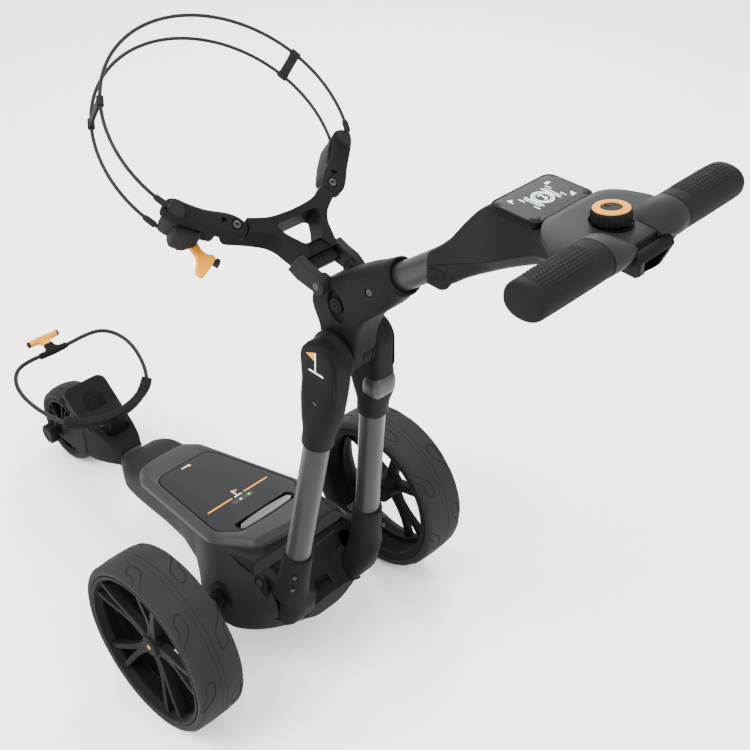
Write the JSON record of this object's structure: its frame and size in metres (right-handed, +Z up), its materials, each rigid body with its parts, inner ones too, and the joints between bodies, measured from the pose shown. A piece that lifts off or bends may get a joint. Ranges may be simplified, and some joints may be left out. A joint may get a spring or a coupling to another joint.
{
  "type": "electric golf trolley",
  "caption": "Folding electric golf trolley: three wheels, twin legs, T handlebar with speed knob and screen, lift-out battery, and cradles and straps for a golf bag.",
  "frame": {"origin": "on the ground, on the middle plane, midway between the front and the back of the whole trolley", "axes": "+X to the user's right, +Y forward towards the front wheel, +Z up"},
  "size_m": [0.589, 1.286, 1.025],
  "materials": {
    "shell": "satin moulded charcoal",
    "dark_shell": "matt moulded black",
    "trim": "satin gunmetal paint",
    "tube": "satin grey coated aluminium",
    "silver": "satin silver",
    "yellow": "moulded orange yellow",
    "rubber": "matt moulded rubber",
    "tyre": "matt foamed tyre",
    "cord": "matt coated elastic",
    "steel": "turned",
    "board": "lacquered circuit board",
    "glass": "gloss black display window"
  },
  "bodies": {
    "chassis": {"chassis_shell": "shell", "trim_frame": "trim", "neck_tube": "tube", "front_housing": "shell", "base_plate": "dark_shell", "base_screws": "steel", "front_axle": "steel", "strap_arm": "rubber", "lower_cord": "cord", "tee_body": "shell", "tee_handle": "yellow", "battery_contacts": "steel", "drive_units": "steel", "controller_board": "board", "yoke_pins": "steel"},
    "battery": {"battery_case": "dark_shell", "battery_cover": "shell"},
    "battery_grab": {"battery_handle": "silver"},
    "wheel_left": {"tyre_left": "tyre", "rim_left": "dark_shell", "hub_cap_left": "shell", "axle_left": "steel"},
    "wheel_right": {"tyre_right": "tyre", "rim_right": "dark_shell", "hub_cap_right": "shell", "axle_right": "steel"},
    "wheel_front": {"front_tyre": "tyre", "front_rim": "dark_shell"},
    "tracking_knob": {"track_knob": "shell"},
    "legs": {"leg_yoke": "shell", "leg_tubes": "tube", "knuckles": "shell", "hinge_covers": "dark_shell", "hinge_pin": "steel", "leg_screws": "steel"},
    "release": {"release_lever": "silver"},
    "handle": {"handle_casting": "shell", "hinge_drum": "dark_shell", "bracket_pin": "steel", "handle_tube": "tube", "console_upper": "shell", "console_lower": "dark_shell", "top_trim": "trim", "screen_bezel": "dark_shell", "screen_glass": "glass", "display_board": "board", "grips": "rubber", "accessory_hook": "dark_shell"},
    "button": {"fold_button": "shell"},
    "speed_stem": {"knob_stem": "steel"},
    "speed_knob": {"knob_body": "dark_shell", "knob_ring": "yellow"},
    "bag_support": {"bag_bracket": "shell", "bag_pads": "shell", "pad_screws": "steel", "strap_ring_top": "cord", "strap_ring_low": "cord", "ring_clips": "shell", "strap_ends": "shell"},
    "latch": {"latch_lever": "yellow"}
  },
  "joints": [
    {"name": "handle_fold", "type": "hinge", "parent": "legs", "child": "handle", "pos_m": [0, -0.217, 0.663], "axis": [1, 0, 0], "range_deg": [0, 110]},
    {"name": "leg_fold", "type": "hinge", "parent": "chassis", "child": "legs", "pos_m": [0, -0.133, 0.214], "axis": [-1, 0, 0], "range_deg": [0, 80.3]},
    {"name": "bag_support_fold", "type": "hinge", "parent": "handle", "child": "bag_support", "pos_m": [0, -0.197, 0.768], "axis": [-1, 0, 0], "range_deg": [0, 60]},
    {"name": "battery_lift", "type": "slide", "parent": "chassis", "child": "battery", "axis": [0, -0.1874, -0.9823], "range_m": [-0.09, 0]},
    {"name": "battery_grab_flip", "type": "hinge", "parent": "battery", "child": "battery_grab", "pos_m": [0, -0.03037, 0.22369], "axis": [1, 0, 0], "range_deg": [0, 60]},
    {"name": "wheel_left_spin", "type": "hinge", "parent": "chassis", "child": "wheel_left", "pos_m": [-0.2528, -0.067, 0.15], "axis": [1, 0, 0], "continuous": true},
    {"name": "wheel_right_spin", "type": "hinge", "parent": "chassis", "child": "wheel_right", "pos_m": [0.2528, -0.067, 0.15], "axis": [1, 0, 0], "continuous": true},
    {"name": "wheel_front_spin", "type": "hinge", "parent": "chassis", "child": "wheel_front", "pos_m": [0, 0.563, 0.08], "axis": [1, 0, 0], "continuous": true},
    {"name": "tracking_turn", "type": "hinge", "parent": "chassis", "child": "tracking_knob", "pos_m": [-0.055, 0.563, 0.08], "axis": [1, 0, 0], "continuous": true},
    {"name": "release_squeeze", "type": "hinge", "parent": "legs", "child": "release", "pos_m": [0.039, -0.254, 0.607], "axis": [-1, 0, 0], "range_deg": [0, 18], "stiffness_Nm_per_rad": 0.6, "springref_deg": -14.32},
    {"name": "button_press", "type": "slide", "parent": "handle", "child": "button", "axis": [1, 0, 0], "range_m": [0, 0.003], "stiffness_N_per_m": 500, "springref_m": -0.004},
    {"name": "speed_press", "type": "slide", "parent": "handle", "child": "speed_stem", "axis": [0, -0.1392, -0.9903], "range_m": [0, 0.0015], "stiffness_N_per_m": 1500, "springref_m": -0.002},
    {"name": "speed_turn", "type": "hinge", "parent": "speed_stem", "child": "speed_knob", "pos_m": [0, -0.585, 1.003], "axis": [0, 0.1392, 0.9903], "continuous": true},
    {"name": "latch_flip", "type": "hinge", "parent": "bag_support", "child": "latch", "pos_m": [-0.124, -0.04446, 0.79424], "axis": [0, -0.5736, 0.8192], "range_deg": [0, 50]}
  ],
  "couplings": [
    {"joint": "leg_fold", "follows": "handle_fold", "ratio": 0.73}
  ]
}
